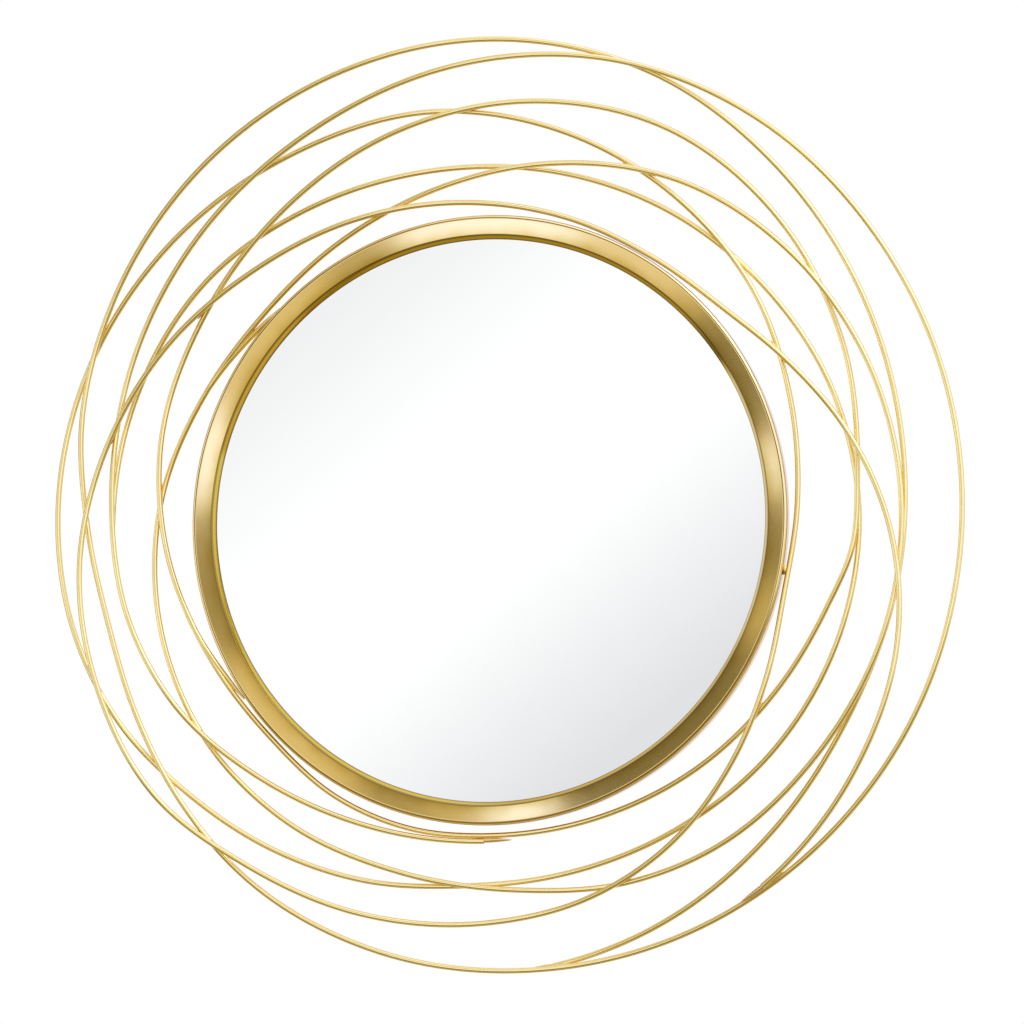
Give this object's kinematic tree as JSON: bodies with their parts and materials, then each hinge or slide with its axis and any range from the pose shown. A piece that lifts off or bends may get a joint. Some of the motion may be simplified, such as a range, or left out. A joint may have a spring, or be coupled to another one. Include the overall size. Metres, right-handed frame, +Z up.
{
  "type": "round wall mirror",
  "caption": "Round wall mirror in a formed gold ring, set in a wide spray of long gold wires that wind round it; it hangs by swinging rings on its back.",
  "frame": {"origin": "middle of the wall plane, which the tips of the bumpers touch", "axes": "+X to the right and +Z up for someone who faces the mirror, +Y into the wall"},
  "size_m": [0.8031, 0.0274, 0.8053],
  "materials": {
    "ring_gold": "steel, plated bright gold and lacquered",
    "wire_gold": "steel wire, plated bright gold and lacquered",
    "silvered_glass": "clear float glass, silvered on the back",
    "foam_tape": "white foam tape",
    "board": "fibreboard, black backing paper",
    "zinc": "bright zinc plate",
    "bumper": "milky clear soft bumper"
  },
  "bodies": {
    "mirror": {"frame_ring": "ring_gold", "mirror_glass": "silvered_glass", "glass_tape": "foam_tape", "backing_board": "board", "frame_lugs": "zinc", "lug_screws": "zinc", "hanger_strap_left": "zinc", "hanger_strap_right": "zinc", "hanger_screws": "zinc", "wall_bumpers": "bumper", "wire_stubs": "wire_gold", "wire_inner_loop": "wire_gold", "wire_middle_loop": "wire_gold", "wire_outer_wind_start": "wire_gold", "wire_outer_wind_end": "wire_gold", "wire_long_wind_start": "wire_gold", "wire_long_wind_middle": "wire_gold", "wire_long_wind_end": "wire_gold"},
    "left_hanging_ring": {"hanging_ring_left": "zinc"},
    "right_hanging_ring": {"hanging_ring_right": "zinc"}
  },
  "joints": [
    {"name": "left_ring_swing", "type": "hinge", "parent": "mirror", "child": "left_hanging_ring", "pos_m": [-0.14991, -0.00625, 0.14991], "axis": [1, 0, 0], "range_deg": [0, 180]},
    {"name": "right_ring_swing", "type": "hinge", "parent": "mirror", "child": "right_hanging_ring", "pos_m": [0.14991, -0.00625, 0.14991], "axis": [1, 0, 0], "range_deg": [0, 180]}
  ]
}
